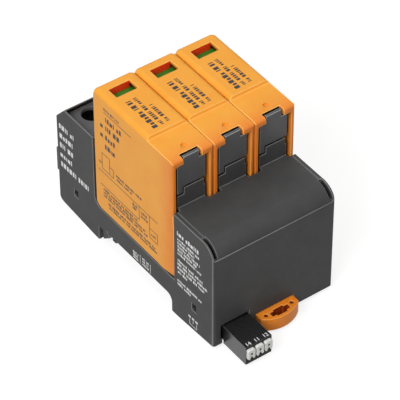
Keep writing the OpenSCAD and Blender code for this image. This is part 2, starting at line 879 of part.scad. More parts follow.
module contact_bar(k, half, y)
    block([contact_x(k) - half, contact_x(k) + half], y, [pin_z - half, pin_z + half]);

module pin_holes()
    for (k = [0 : 2])
        contact_bar(k, pin_half + snug / 2, [header_back - 2 * header_floor, board_y + board_t + over]);

module header_pins()
    color(zinc_steel)
        for (k = [0 : 2])
            contact_bar(k, pin_half, [front_y + wall + pin_in, board_y + board_t + snug / 2]);

module microswitch()
    color(plug_black)
        difference() {
            block([bar_arm_x - switch_half, bar_arm_x + switch_half], [switch_y, switch_y + switch_d],
                [bar_z - switch_below, bar_z + switch_above]);
            for (k = [0 : 2])
                contact_bar(k, pin_half + slide, [switch_y - over, switch_y + over]);
            switch_bore(slide, bar_travel + slide);
        }

module switch_bore(gap, spare)
    block([bar_arm_x - plunger_half - gap, bar_arm_x + plunger_half + gap],
        [switch_y + switch_d - plunger_in - spare, plunger_y],
        [bar_z - gap, bar_z + bar_t + gap]);

module switch_plunger()
    color("#c23b2e") switch_bore(0, 0);

// The bar that any tripped module pushes: a finger per pole, and an arm to the switch
module signal_bar()
    color("#e6e2d6")
        union() {
            block([bar_arm_x - bar_arm_half, pole_x(poles - 1) + 2],
                [bar_y - bar_half, bar_y + bar_half], [bar_z, bar_z + bar_t]);
            block([bar_arm_x - bar_arm_half, bar_arm_x + bar_arm_half],
                [plunger_y + snug, bar_y + bar_half], [bar_z, bar_z + bar_t]);
            for (i = [0 : poles - 1])
                block([pole_x(i) - finger_half, pole_x(i) + finger_half],
                    [bar_y - finger_half, bar_y + finger_half], [bar_z, carrier_top - 0.3]);
        }

// The plug of the signal contact: a head outside the housing and a neck in the header
module signal_plug()
    color(plug_black)
        difference() {
            union() {
                block([signal_x - signal_w / 2, signal_x + signal_w / 2],
                    [signal_front, front_y - slide], [-signal_low, signal_top]);
                block([signal_x - signal_w / 2 + neck, signal_x + signal_w / 2 - neck],
                    [front_y - over, signal_end], [2 * neck - signal_low, signal_top - neck]);
            }
            for (k = [0 : 2]) {
                block([contact_x(k) - push_half - push_gap, contact_x(k) + push_half + push_gap],
                    [signal_front - over, push_back + push_travel + slide],
                    [push_low - push_gap, push_high + push_gap]);
                block([contact_x(k) - wire_half, contact_x(k) + wire_half],
                    [signal_front - over, clamp_y[0]], [wire_low, wire_top]);
                contact_bar(k, pin_half + slide, [push_back, signal_end + over]);
                block([contact_x(k) - clamp_half - snug, contact_x(k) + clamp_half + snug],
                    [clamp_y[0] - snug, clamp_y[1] + snug],
                    [pin_z - clamp_high - snug, pin_z + clamp_high + snug]);
            }
        }

// The spring clamps in the plug, bent from strip into small cages
module clamp_cages()
    color(zinc_steel)
        for (k = [0 : 2])
            difference() {
                block([contact_x(k) - clamp_half, contact_x(k) + clamp_half], clamp_y,
                    [pin_z - clamp_high, pin_z + clamp_high]);
                block([contact_x(k) - clamp_half + clamp_t, contact_x(k) + clamp_half - clamp_t],
                    [clamp_y[0] - over, clamp_y[1] + over],
                    [pin_z - clamp_high + clamp_t, pin_z + clamp_high - clamp_t]);
            }

// A push piece from the front: two pointed legs astride the wire, and bevelled corners
module push_outline()
    polygon([
        [-push_half, push_bevel], [push_bevel - push_half, 0], [-push_notch[0], 0], [0, push_notch[1]],
        [push_notch[0], 0], [push_half - push_bevel, 0], [push_half, push_bevel],
        [push_half, push_h - push_bevel], [push_half - push_bevel, push_h],
        [push_bevel - push_half, push_h], [-push_half, push_h - push_bevel]
    ]);

module push_piece(k)
    color(push_grey)
        translate([contact_x(k), 0, push_low])
            difference() {
                along([push_face, push_back]) push_outline();
                translate([0, push_face + eye_d, push_eye])
                    rotate([90, 0, 0]) cylinder(r = eye_r, h = eye_d + over);
            }

// Plug modules
// The hood from the side, with the finger step on its top
module hood_side_outline()
    difference() {
        polygon([
            [-plug_front, hood_low], [plug_back, hood_low], [plug_back, plug_top],
            [step_y, plug_top], [step_y - 0.6, step_z], [-plug_front, step_z]
        ]);
        corner_cut([-plug_front, hood_low], [1, 1], hood_toe_r);
        corner_cut([plug_back, hood_low], [-1, 1], hood_corner_r);
        corner_cut([plug_back, plug_top], [-1, -1], hood_rear_r);
        corner_cut([-plug_front, step_z], [1, -1], hood_edge_r);
    }

// The hood from above, a little wider along its front
module hood_plan()
    difference() {
        polygon([
            [-hood_half, -plug_front], [hood_half, -plug_front], [hood_half, flare_y],
            [hood_slim, flare_y + flare_run], [hood_slim, plug_back], [-hood_slim, plug_back],
            [-hood_slim, flare_y + flare_run], [-hood_half, flare_y]
        ]);
        for (s = [-1, 1]) {
            corner_cut([s * hood_slim, plug_back], [-s, -1], hood_back_r);
            corner_cut([s * hood_half, -plug_front], [-s, 1], hood_front_r);
        }
    }

module plug_hood(i)
    color(hood_orange)
        translate([pole_x(i), 0, 0])
            difference() {
                intersection() {
                    across(pole_pitch) hood_side_outline();
                    along([-plug_front - over, plug_back + over])
                        soft_rect([-hood_half, hood_half], [hood_low - over, plug_top],
                            [0, 0, hood_side_r, hood_side_r]);
                    translate([0, 0, -far]) linear_extrude(2 * far) hood_plan();
                }
                hood_hollow();
                along([-plug_front - over, -plug_front + post_d + over])
                    soft_rect([-opening_half, opening_half], [hood_low - over, brow_z],
                        [0, 0, brow_r, brow_r]);
                for (s = [0, 1])
                    mirror([s, 0, 0]) {
                        toe_cut();
                        rear_corner_cut();
                    }
                notch();
                window_opening();
                translate([dimple_x, dimple_y, step_z - dimple_d]) cylinder(r = dimple_r, h = over);
            }

// What the slanted facet takes off the lower front of a side, ahead of its crease
module toe_cut()
    translate([-hood_half, toe_y, tower_h])
        rotate([toe_lean, 0, 0]) rotate([0, 0, toe_turn])
            translate([-far, -far, -far]) cube([far, far, 2 * far]);

// What rounds a top rear corner off, across its diagonal
module rear_corner_cut()
    translate([hood_slim, plug_back, 0])
        rotate([0, 0, 45])
            along([-far, far])
                corner_cut([hood_back_r * (1 - sqrt(2)), plug_top], [-1, -1], hood_ball_r);

module hood_hollow() {
    block([-hood_inner, hood_inner], [-plug_front + post_d, step_y + 1.2],
        [hood_low - over, step_z - hood_wall]);
    across(2 * hood_inner)
        soft_rect([step_y, plug_back - hood_wall], [hood_low - over, plug_top - hood_wall],
            [0, 0, hood_rear_r - hood_wall, 0]);
}

// The notch that the pull tab stands in, hollow under a thin lip along its rear edge
module notch() {
    block([-notch_half, notch_half], [-plug_front - over, -plug_front + notch_d], [brow_z - over, plug_top]);
    block([-notch_half, notch_half], [-plug_front, -plug_front + notch_d + lip_d],
        [step_z - hood_wall - over, step_z - lip]);
}

// The window, with room for the red wall under a thin lip along its rear edge
module window_opening() {
    block([window_left, window_right], [window_front, window_back],
        [plug_top - hood_wall - over, plug_top + over]);
    block([window_left, window_right], [window_front, window_back + field_t + snug],
        [plug_top - hood_wall - over, plug_top - lip]);
}

// The carrier: a bottom plate that closes the hood, a spine and the black front plate with its pull tab
module plug_carrier(i)
    color(front_black)
        translate([pole_x(i), 0, 0])
            difference() {
                union() {
                    across(2 * (hood_inner - slide)) {
                        floor_outline();
                        translate([spine_y, carrier_low]) square([spine_t, brow_z - 2 * seam - carrier_low]);
                    }
                    along([plate_y, plate_y + plate_t]) plate_outline();
                    block([rib_in - plate_half, plate_half - rib_in],
                        [plate_y + plate_t / 2, spine_y + spine_t / 2],
                        [seam_z + seam_step + 2 * tongue_seam, brow_z - 2 * seam]);
                    block([seam - notch_half, notch_half - seam], [plate_y, plate_y + plate_t],
                        [brow_z - over, step_z - tab_drop]);
                    for (y = post_ys)
                        block([-varistor_t / 2, varistor_t / 2], [y, y + post_l],
                            [carrier_low, varistor_low - snug]);
                }
                block([blade_x - snug / 2, blade_x + blade_t + snug / 2],
                    [blade_front - blade_w / 2 - snug / 2, blade_front + blade_w / 2 + snug / 2],
                    [carrier_low - over, carrier_top + over]);
                block([-blade_x - blade_t - snug / 2, -blade_x + snug / 2],
                    [blade_back - blade_w / 2 - snug / 2, blade_back + blade_w / 2 + snug / 2],
                    [carrier_low - over, carrier_top + over]);
                block([-finger_half - slide, finger_half + slide],
                    [bar_y - finger_half - bar_travel - slide, bar_y + finger_half + slide],
                    [carrier_low - over, carrier_top + over]);
            }

// The bottom plate from the side, round where the hood is
module floor_outline()
    difference() {
        translate([spine_y, carrier_low])
            square([plug_back - hood_wall - slide - spine_y, carrier_t]);
        corner_cut([plug_back - slide, carrier_low], [-1, 1], hood_corner_r);
    }

// The front plate: round shoulders above, and a step below that leaves the base's tongue free
module plate_outline()
    difference() {
        soft_rect([-plate_half, plate_half], [seam_z + tongue_seam, brow_z - seam],
            [0, 0, plate_r, plate_r]);
        translate([tongue_left - seam, seam_z]) square([far, seam_step + tongue_seam]);
    }

module varistor(i)
    color("#3d5f8f")
        translate([pole_x(i), 0, 0])
            across(varistor_t)
                soft_rect([varistor_mid - varistor_l / 2, varistor_mid + varistor_l / 2],
                    [varistor_low, varistor_top], [varistor_r, varistor_r, varistor_r, varistor_r]);

// The front blade is one with its electrode plate, the rear one ends below the thermal spring
module contact_blades(i)
    color(copper)
        translate([pole_x(i), 0, 0]) {
            across(blade_t, blade_x + blade_t / 2)
                polygon([
                    [blade_front - blade_w / 2, blade_low], [blade_front + blade_w / 2, blade_low],
                    [blade_front + blade_w / 2, varistor_low], [plate_end, varistor_low + plate_inset],
                    [plate_end, varistor_top - plate_inset],
                    [blade_front - blade_w / 2, varistor_top - plate_inset]
                ]);
            block([-blade_x - blade_t, -blade_x], [blade_back - blade_w / 2, blade_back + blade_w / 2],
                [blade_low, varistor_low + 1]);
        }

// The thermal spring is soldered to the varistor and lets go when it runs hot
module thermal_spring(i)
    color(copper)
        translate([pole_x(i), 0, 0])
            union() {
                block([-spring_x - copper_t, -spring_x],
                    [blade_back - spring_half, blade_back + spring_half],
                    [carrier_top + snug, solder_z + solder_h]);
                block([-spring_x - copper_t, -blade_x],
                    [blade_back - spring_half, blade_back + spring_half], [solder_z, solder_z + solder_h]);
            }

// The red field round the flag: a floor below it and a wall that stands up in the window behind it
module status_field(i)
    color("#b8301c")
        translate([pole_x(i), 0, 0])
            union() {
                block([window_left - field_edge, window_right + field_edge],
                    [window_front - flag_travel - field_edge, window_back + field_t],
                    [flag_z - flag_t - slide - over, flag_z - flag_t - slide]);
                block([window_left + snug, window_right - snug],
                    [window_back, window_back + field_t],
                    [flag_z - flag_t - slide - over, plug_top - lip - snug]);
            }

// The green flag, which slides forward under the hood and uncovers the red
module status_flag(i)
    color("#3a8a2a")
        translate([pole_x(i), 0, 0])
            block([window_left - field_edge, window_right + field_edge],
                [window_front - field_edge, window_back - snug], [flag_z - flag_t, flag_z]);

base_shell();
base_bottom();
front_cover();
terminal_cover();
wire_entry_frame();
star_busbar();
rail_foot();
signal_board();
signal_header();
header_pins();
microswitch();
switch_plunger();
signal_bar();
signal_plug();
clamp_cages();
for (i = [0 : poles - 1]) {
    line_contact(i);
    terminal_cage(i);
    terminal_screw(i);
    push_piece(i);
    plug_hood(i);
    plug_carrier(i);
    varistor(i);
    contact_blades(i);
    thermal_spring(i);
    status_field(i);
    status_flag(i);
}
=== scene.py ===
"""Looks of a surge arrester for a top-hat rail: three plug-in modules on a base with a signal plug."""
import math
import random

import bpy
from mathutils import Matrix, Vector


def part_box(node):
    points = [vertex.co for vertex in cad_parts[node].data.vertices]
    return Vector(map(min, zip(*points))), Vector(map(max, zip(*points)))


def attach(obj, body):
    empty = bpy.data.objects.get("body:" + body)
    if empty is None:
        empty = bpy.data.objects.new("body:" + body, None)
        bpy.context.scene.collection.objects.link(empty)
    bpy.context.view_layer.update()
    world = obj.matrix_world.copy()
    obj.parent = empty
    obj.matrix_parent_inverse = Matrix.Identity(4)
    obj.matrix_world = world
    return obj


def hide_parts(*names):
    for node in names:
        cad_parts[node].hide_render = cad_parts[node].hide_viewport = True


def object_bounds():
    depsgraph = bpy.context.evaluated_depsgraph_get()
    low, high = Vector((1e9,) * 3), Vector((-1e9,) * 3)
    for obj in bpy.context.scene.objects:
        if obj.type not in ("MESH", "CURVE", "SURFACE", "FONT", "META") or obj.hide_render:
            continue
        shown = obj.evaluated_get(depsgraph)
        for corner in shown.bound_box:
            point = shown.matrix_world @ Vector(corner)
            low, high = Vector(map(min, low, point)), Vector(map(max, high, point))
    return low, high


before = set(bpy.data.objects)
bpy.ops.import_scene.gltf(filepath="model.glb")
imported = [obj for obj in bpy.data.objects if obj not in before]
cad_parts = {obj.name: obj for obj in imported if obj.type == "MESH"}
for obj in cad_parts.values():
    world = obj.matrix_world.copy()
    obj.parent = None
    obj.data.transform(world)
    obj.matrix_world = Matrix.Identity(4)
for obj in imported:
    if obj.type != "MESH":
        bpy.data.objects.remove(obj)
cad_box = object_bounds()
MM = 0.001

# Bottom part of the base
# The tray under the housing: rail recess, fixed hook, guide of the rail foot and four snap arms.
# Moulded in black polyamide and snapped into the shell, so only its underside and the lugs in the sides show.


def linear(code):
    """An sRGB hex value as linear red, green, blue and alpha."""
    parts = [int(code[k:k + 2], 16) / 255 for k in (1, 3, 5)]
    return [c / 12.92 if c <= 0.04045 else ((c + 0.055) / 1.055) ** 2.4 for c in parts] + [1.0]


def add(tree, kind, settings, links):
    """Adds a node, sets its inputs and properties by name, and links its inputs by name or number."""
    made = tree.nodes.new(kind)
    for name, value in settings.items():
        if isinstance(name, int) or name in made.inputs:
            made.inputs[name].default_value = value
        else:
            setattr(made, name, value)
    for name, socket in links.items():
        tree.links.new(socket, made.inputs[name])
    return made


# Width in mm of the faint clouds in a moulding's colour, and how far the grain shifts its roughness.
CLOUD = 9
GLOSS_SPREAD = 0.06


def moulded_plastic(name, tone, pale, rough, shine, grain, relief):
    """Injection-moulded plastic: a faint cloud in its colour, and an eroded mould's grain in gloss and relief.
    grain is the grit in mm and relief its height in mm."""
    material = bpy.data.materials.new(name)
    material.use_nodes = True
    tree = material.node_tree
    tree.nodes.clear()
    place = add(tree, "ShaderNodeTexCoord", {}, {}).outputs["Object"]
    cloud = add(tree, "ShaderNodeTexNoise", {"Scale": 1 / (CLOUD * MM), "Detail": 5.0, "Roughness": 0.62},
                {"Vector": place})
    tint = add(tree, "ShaderNodeMixRGB", {"Color1": linear(tone), "Color2": linear(pale)},
               {"Fac": cloud.outputs["Fac"]})
    grit = add(tree, "ShaderNodeTexNoise", {"Scale": 1 / (grain * MM), "Detail": 2.0}, {"Vector": place})
    gloss = add(tree, "ShaderNodeMapRange",
                {"From Min": 0.3, "From Max": 0.7,
                 "To Min": rough - GLOSS_SPREAD, "To Max": rough + GLOSS_SPREAD},
                {"Value": grit.outputs["Fac"]})
    bump = add(tree, "ShaderNodeBump", {"Strength": 0.6, "Distance": relief * MM},
               {"Height": grit.outputs["Fac"]})
    shader = add(tree, "ShaderNodeBsdfPrincipled", {"IOR": 1.53, "Specular IOR Level": shine},
                 {"Base Color": tint.outputs["Color"], "Roughness": gloss.outputs["Result"],
                  "Normal": bump.outputs["Normal"]})
    add(tree, "ShaderNodeOutputMaterial", {}, {"Surface": shader.outputs["BSDF"]})
    return material


def dress(piece, material):
    """Gives a piece one material all over."""
    piece.data.materials.clear()
    piece.data.materials.append(material)


# Corners nearer than WELD mm become one, and so do faces within FLAT degrees. Edges over BEND degrees are
# rounded. SAME_WAY is the least cosine between a face and the direction that it looks along.
WELD = 0.001
FLAT = 0.05
BEND = 38
SAME_WAY = 0.9998
# A piece's materials: plain all over, a painted highlight on its rounded edges, and a third where faces are
# marked.
PLAIN, PAINTED_HIGHLIGHT, MARKED = 0, 1, 2


def moulded_copy(node, body, edge, material, edge_highlight, facets=()):
    """A copy of a solid with its triangles joined and its edges rounded by edge mm, as a mould leaves them.
    Hollow outlines are split first, so that no face folds over when its edges are rounded.
    The rounded edges get a painted highlight, and the borders of faces that look along one of facets stay
    crisp."""
    bpy.ops.object.select_all(action="DESELECT")
    piece = bpy.data.objects.new(node + "_moulded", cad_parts[node].data.copy())
    bpy.context.scene.collection.objects.link(piece)
    bpy.context.view_layer.objects.active = piece
    piece.select_set(True)
    bpy.ops.mesh.customdata_custom_splitnormals_clear()
    bpy.ops.object.mode_set(mode="EDIT")
    bpy.ops.mesh.select_mode(type="FACE")
    bpy.ops.mesh.select_all(action="SELECT")
    bpy.ops.mesh.remove_doubles(threshold=WELD * MM)
    bpy.ops.mesh.dissolve_limited(angle_limit=math.radians(FLAT))
    bpy.ops.mesh.select_all(action="SELECT")
    bpy.ops.mesh.vert_connect_concave()
    bpy.ops.mesh.select_all(action="DESELECT")
    bpy.ops.object.mode_set(mode="OBJECT")
    for face in piece.data.polygons:
        face.select = any(sum(a * b for a, b in zip(face.normal, facet)) > SAME_WAY for facet in facets)
    bpy.ops.object.mode_set(mode="EDIT")
    if facets:
        bpy.ops.mesh.region_to_loop()
        bpy.ops.mesh.mark_sharp()
    bpy.ops.object.mode_set(mode="OBJECT")
    bpy.ops.object.shade_smooth()
    dress(piece, material)
    piece.data.materials.append(edge_highlight)
    rounding = piece.modifiers.new("rounding", "BEVEL")
    rounding.width = edge * MM
    rounding.material = PAINTED_HIGHLIGHT
    rounding.segments = 2
    rounding.limit_method = "ANGLE"
    rounding.angle_limit = math.radians(BEND)
    rounding.use_clamp_overlap = False
    rounding.loop_slide = False
    bpy.ops.object.modifier_apply(modifier=rounding.name)
    flatness = piece.modifiers.new("flatness", "WEIGHTED_NORMAL")
    flatness.weight = 80
    flatness.keep_sharp = True
    bpy.ops.object.modifier_apply(modifier=flatness.name)
    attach(piece, body)
    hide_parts(node)
    return piece


# Polyamide straight from a blasted mould: black, dull and even.
tray_plastic = moulded_plastic("polyamide_black_matt", "#141414", "#202020", 0.6, 0.2, 0.45, 0.03)
moulded_copy("base_bottom", "base", 0.15, tray_plastic, tray_plastic)

# Current path in the base
# Star busbar and line contacts, stamped from tinned copper strip and bent, lie loose in ribs of the shell.
# Rising cages of zinc-plated steel clamp each wire, and a captive screw in each lifts its cage.


# Width in mm of the stains on bare metal, and the height of its drawing lines.
STAIN = 4
SCORE = 0.01


def worked_metal(name, tone, pale, rough, stroke):
    """Bare metal with the fine lines of its rolling or drawing; stroke is their spacing in mm."""
    material = bpy.data.materials.new(name)
    material.use_nodes = True
    tree = material.node_tree
    tree.nodes.clear()
    place = add(tree, "ShaderNodeTexCoord", {}, {}).outputs["Object"]
    drawn = add(tree, "ShaderNodeMapping", {"Scale": (1.0, 1.0, 0.06)}, {"Vector": place})
    lines = add(tree, "ShaderNodeTexNoise", {"Scale": 1 / (stroke * MM), "Detail": 2.0},
                {"Vector": drawn.outputs["Vector"]})
    stain = add(tree, "ShaderNodeTexNoise", {"Scale": 1 / (STAIN * MM), "Detail": 4.0}, {"Vector": place})
    tint = add(tree, "ShaderNodeMixRGB", {"Color1": linear(tone), "Color2": linear(pale)},
               {"Fac": stain.outputs["Fac"]})
    gloss = add(tree, "ShaderNodeMapRange", {"To Min": rough - 0.1, "To Max": rough + 0.1},
                {"Value": lines.outputs["Fac"]})
    bump = add(tree, "ShaderNodeBump", {"Strength": 0.4, "Distance": SCORE * MM},
               {"Height": lines.outputs["Fac"]})
    shader = add(tree, "ShaderNodeBsdfPrincipled", {"Metallic": 1.0},
                 {"Base Color": tint.outputs["Color"], "Roughness": gloss.outputs["Result"],
                  "Normal": bump.outputs["Normal"]})
    add(tree, "ShaderNodeOutputMaterial", {}, {"Surface": shader.outputs["BSDF"]})
    return material


# Copper strip is warm and softly streaked; zinc plate is paler, with a slight blue cast.
copper_strip = worked_metal("tinned_copper_strip", "#9c5c38", "#d3966f", 0.34, 0.2)
zinc_plate = worked_metal("zinc_plated_steel", "#9da1a6", "#cdd1d4", 0.36, 0.15)
dress(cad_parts["star_busbar"], copper_strip)
for pole in (1, 2, 3):
    dress(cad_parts[f"line_contact_{pole}"], copper_strip)
    moulded_copy(f"terminal_cage_{pole}", f"terminal_cage_{pole}", 0.2, zinc_plate, zinc_plate)
    moulded_copy(f"terminal_screw_{pole}", f"terminal_screw_{pole}", 0.15, zinc_plate, zinc_plate)

# Housing shell
# The dark grey shell with both towers, moulded in one with the well between them.
# White pad print covers its left side: blocks of fine rows on both towers and small fields on the low band.

# Polyamide with glass fibre: dull and dark, with a fine even grain that breaks up every highlight.
# The real grit is about 0.1 mm, and is drawn coarser so that it shows. The paler edges are a painted
# highlight.
GRIT = 0.45
housing_plastic = moulded_plastic("glass_filled_polyamide_grey", "#363636", "#494949", 0.58, 0.19, GRIT, 0.05)
housing_edge = moulded_plastic("glass_filled_polyamide_painted_highlight", "#5c5c5c", "#787878", 0.42, 0.4, GRIT, 0.02)
shell = moulded_copy("base_shell", "base", 0.25, housing_plastic, housing_edge)
# The two upright front edges are rounded in the solid already; a narrow strip of each gets the painted
# highlight too.
UPRIGHT = 0.1
STRIP_FROM, STRIP_TO = -0.6, -0.12
for face in shell.data.polygons:
    if abs(face.normal.z) < UPRIGHT and STRIP_FROM < face.normal.y < STRIP_TO:
        face.material_index = PAINTED_HIGHLIGHT


# Thickness of a film of print and width of the blotches in it, in mm.
FILM = 0.04
BLOTCH = 0.5


def ink(name, tone, pale, rough):
    """Pad-printing ink: a thin dull film with slightly uneven cover."""
    material = bpy.data.materials.new(name)
    material.use_nodes = True
    tree = material.node_tree
    tree.nodes.clear()
    place = add(tree, "ShaderNodeTexCoord", {}, {}).outputs["Object"]
    cover = add(tree, "ShaderNodeTexNoise", {"Scale": 1 / (BLOTCH * MM), "Detail": 2.0}, {"Vector": place})
    tint = add(tree, "ShaderNodeMixRGB", {"Color1": linear(tone), "Color2": linear(pale)},
               {"Fac": cover.outputs["Fac"]})
    shader = add(tree, "ShaderNodeBsdfPrincipled", {"Roughness": rough, "IOR": 1.5},
                 {"Base Color": tint.outputs["Color"]})
    add(tree, "ShaderNodeOutputMaterial", {}, {"Surface": shader.outputs["BSDF"]})
    return material


def print_field(left, right, low, high):
    """A solid field of print in the sheet's own plane, in mm."""
    bpy.ops.mesh.primitive_plane_add(size=1)
    field = bpy.context.object
    field.scale = ((right - left) * MM, (high - low) * MM, 1)
    field.location = ((left + right) / 2 * MM, (low + high) / 2 * MM, 0)
    bpy.ops.object.transform_apply()
    return field


# A row of print is CELLS cells high, and a cell's width is a share of the row's height.
CELLS = 4
CELL_SHARE = 0.24


def print_row(left, right, middle, height, draw):
    """A row of fine print that says nothing: small solid blocks, wide or narrow, in groups like words."""
    columns = max(3, round((right - left) / (CELL_SHARE * height)))
    bpy.ops.mesh.primitive_grid_add(x_subdivisions=columns, y_subdivisions=CELLS, size=1)
    row = bpy.context.object
    row.scale = ((right - left) * MM, height * MM, 1)
    row.location = ((left + right) / 2 * MM, middle * MM, 0)
    bpy.ops.object.transform_apply()
    inked, column, word = set(), 0, draw.randint(3, 7)
    while column < columns:
        wide, high = draw.choice((1, 2, 2, 3)), draw.choice((CELLS - 1, CELLS, CELLS))
        inked.update((column + stroke, step) for stroke in range(wide) for step in range(high))
        word -= 1
        column += wide + (1 if word else 3)
        word = word or draw.randint(3, 8)
    bpy.ops.object.mode_set(mode="EDIT")
    bpy.ops.mesh.select_all(action="DESELECT")
    bpy.ops.object.mode_set(mode="OBJECT")
    for cell in row.data.polygons:
        column = int((cell.center.x / MM - left) / (right - left) * columns)
        step = int((cell.center.y / MM - middle + height / 2) / height * CELLS)
        cell.select = (column, step) not in inked
    bpy.ops.object.mode_set(mode="EDIT")
    bpy.ops.mesh.delete(type="FACE")
    bpy.ops.object.mode_set(mode="OBJECT")
    return row


def print_sheet(fields, rows, seed, turn, place):
    """Joins fields and rows into one film of ink, then turns it and sets it on its face, in mm."""
    draw = random.Random(seed)
    bpy.ops.object.select_all(action="DESELECT")
    parts = [print_field(*field) for field in fields] + [print_row(*row, draw) for row in rows]
    bpy.ops.object.select_all(action="DESELECT")
    for part in parts:
        part.select_set(True)
    sheet = parts[0]
    bpy.context.view_layer.objects.active = sheet
    bpy.ops.object.join()
    film = sheet.modifiers.new("film", "SOLIDIFY")
    film.thickness = FILM * MM
    film.offset = 0
    bpy.ops.object.modifier_apply(modifier=film.name)
    sheet.rotation_euler = turn
    sheet.location = [c * MM for c in place]
    bpy.ops.object.transform_apply()
    return sheet


def fix_print(sheet, name, material, body):
    """Names a finished print, inks it and lets it ride on the body it is printed on."""
    sheet.name = name
    dress(sheet, material)
    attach(sheet, body)


# Seen from the left, print reads along -Y and down -Z, so a sheet's own x is -Y and its own y is Z.
# White ink lies thin on the grain, so it is dull and not quite even.
LEFT_FACE = (math.pi / 2, 0, -math.pi / 2)
white_ink = ink("white_pad_print", "#d4d4d4", "#f6f6f6", 0.6)
shell_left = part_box("base_shell")[0][0] / MM
# A row is its left and right end, its middle and its height; a field is its left, right, low and high side.
rear_rows = [(-50.3, -40.8, 32.7, 2.3), (-50.2, -41.7, 28.0, 2.3), (-50.2, -41.7, 23.4, 2.3),
             (-50.2, -42.6, 18.7, 2.3), (-50.0, -31.9, 14.0, 2.3)]
front_rows = [(24.3, 38.0, 34.9, 2.0),
              (24.5, 37.4, 32.2, 1.1), (24.5, 35.3, 30.5, 1.1), (24.6, 38.0, 28.8, 1.1),
              (24.6, 35.9, 27.1, 1.1), (24.6, 38.6, 25.4, 1.1), (24.6, 39.5, 22.0, 1.2),
              (24.4, 42.1, 20.1, 1.2), (24.4, 40.4, 18.2, 1.2), (24.6, 31.0, 16.3, 1.2),
              (24.3, 39.1, 11.9, 1.1), (24.3, 32.5, 10.2, 1.1)]
band_rows = [(-3.6, -0.3, 4.6, 1.0), (-3.6, -0.3, 3.2, 1.0), (2.2, 6.4, 5.2, 1.0), (2.2, 6.4, 3.8, 1.0),
             (2.2, 6.4, 2.4, 1.0)]
band_fields = [(-3.6, -0.3, 1.6, 2.2), (0.8, 1.05, 1.4, 5.8), (7.2, 7.45, 1.4, 5.8)]
switch_fields = [(30.9, 32.3, -1.4, -0.4), (33.0, 34.4, -1.4, -0.4), (35.1, 36.5, -1.4, -0.4),
                 (31.5, 31.75, -4.4, -1.9), (35.7, 35.95, -4.4, -1.9), (31.5, 36.0, -4.6, -4.35),
                 (33.6, 33.85, -3.2, -1.9)]
SHELL_SEED = 3
shell_print = print_sheet(band_fields + switch_fields, rear_rows + front_rows + band_rows, SHELL_SEED,
                          LEFT_FACE, (shell_left, 0, 0))
fix_print(shell_print, "shell_print", white_ink, "base")

# Covers of the base
# The blank cover of the front tower with a tongue for each module, the sunk terminal cover with its
# screw holes and the frame round the wire entries: all snapped into the shell and moulded in the same plastic.
moulded_copy("front_cover", "base", 0.2, housing_plastic, housing_edge)
# The terminal cover lies sunk; its colour is painted paler than the shell as painted light, and its edges
# carry a painted highlight.
lid_plastic = moulded_plastic("glass_filled_polyamide_painted_lighter", "#4a4a4b", "#626263", 0.6, 0.19, GRIT, 0.05)
lid_edge = moulded_plastic("glass_filled_polyamide_painted_edge_highlight", "#a0a0a2", "#c4c4c6", 0.5, 0.3, GRIT, 0.02)
terminal_lid = moulded_copy("terminal_cover", "base", 0.4, lid_plastic, lid_edge)
# The rims of the screw holes are left out of the painted edge highlight, so they keep the cover's colour.
HOLE_RIM = 4.4
for pole in (1, 2, 3):
    low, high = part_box(f"terminal_screw_{pole}")
    middle = [(low[k] + high[k]) / 2 for k in (0, 1)]
    for face in terminal_lid.data.polygons:
        if math.dist(face.center[:2], middle) < HOLE_RIM * MM:
            face.material_index = PLAIN
moulded_copy("wire_entry_frame", "base", 0.12, housing_plastic, housing_edge)

# Remote signal inside the base
# A standing circuit board carries the pin header and a small switch; a white bar links the modules to it.
# All of it sits behind the front face and shows only when the plug is pulled.

# The board is cut from glass-epoxy sheet and lightly glossy; the switch, bar and plunger are smooth mouldings.
laminate = moulded_plastic("glass_epoxy_laminate", "#235a30", "#3b8050", 0.4, 0.5, 0.6, 0.01)
switch_plastic = moulded_plastic("thermoset_black", "#161616", "#222222", 0.42, 0.45, 0.3, 0.01)
natural_plastic = moulded_plastic("acetal_natural", "#d8d3c4", "#ece9de", 0.4, 0.45, 0.4, 0.01)
red_plastic = moulded_plastic("polycarbonate_red", "#f62c08", "#ff3e10", 0.3, 0.5, 0.5, 0.005)
for node, material in (("signal_board", laminate), ("header_pins", zinc_plate),
                       ("microswitch", switch_plastic), ("switch_plunger", red_plastic),
                       ("signal_bar", natural_plastic)):
    dress(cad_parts[node], material)
moulded_copy("signal_header", "base", 0.12, switch_plastic, switch_plastic)

# Rail foot
# The orange slider under the front, pulled out with a screwdriver to free the rail.
# Moulded with its two spring arms and its latch in one piece of a softer, deeper orange plastic.

# Acetal is smooth and a little waxy, so it has a soft sheen with hardly any grain.
foot_plastic = moulded_plastic("acetal_deep_orange", "#e67c1a", "#f3922c", 0.45, 0.25, 0.5, 0.015)
# Its rounded edges carry a painted highlight.
foot_edge = moulded_plastic("acetal_orange_painted_highlight", "#ee9038", "#f8a850", 0.38, 0.35, 0.5, 0.01)
foot = moulded_copy("rail_foot", "rail_foot", 0.22, foot_plastic, foot_edge)
# Painted shade darkens the inside of the slot across its head and of the small hole at each end of it.
# Each place is the middle and half the size of a slot or hole; the pair below is how far down, in mm, the
# painted shade lies.
FOOT_SLOTS = (((0.5, -49.2), (4.1, 1.9)), ((-5.3, -48.45), (0.9, 0.9)), ((6.3, -48.45), (0.9, 0.9)))
SHADE_DEPTHS = (0.3, 5.2)
foot.data.materials.append(moulded_plastic("acetal_orange_painted_shade", "#7a2808", "#ae4812", 0.6, 0.2, 0.5, 0.03))
foot_top = max(corner.co.z for corner in foot.data.vertices)
for face in foot.data.polygons:
    spot = [c / MM for c in face.center]
    depth = foot_top / MM - spot[2]
    for middle, half in FOOT_SLOTS:
        beside = [abs(spot[k] - middle[k]) < half[k] for k in (0, 1)]
        if all(beside) and SHADE_DEPTHS[0] < depth < SHADE_DEPTHS[1]:
            face.material_index = MARKED

# Signal plug
# A black plug in three places with a light grey push piece at each wire hole, and the contact numbers on top.
# Its moulded housing holds a clamp bent from strip in each place, and slides over the pins of the header.

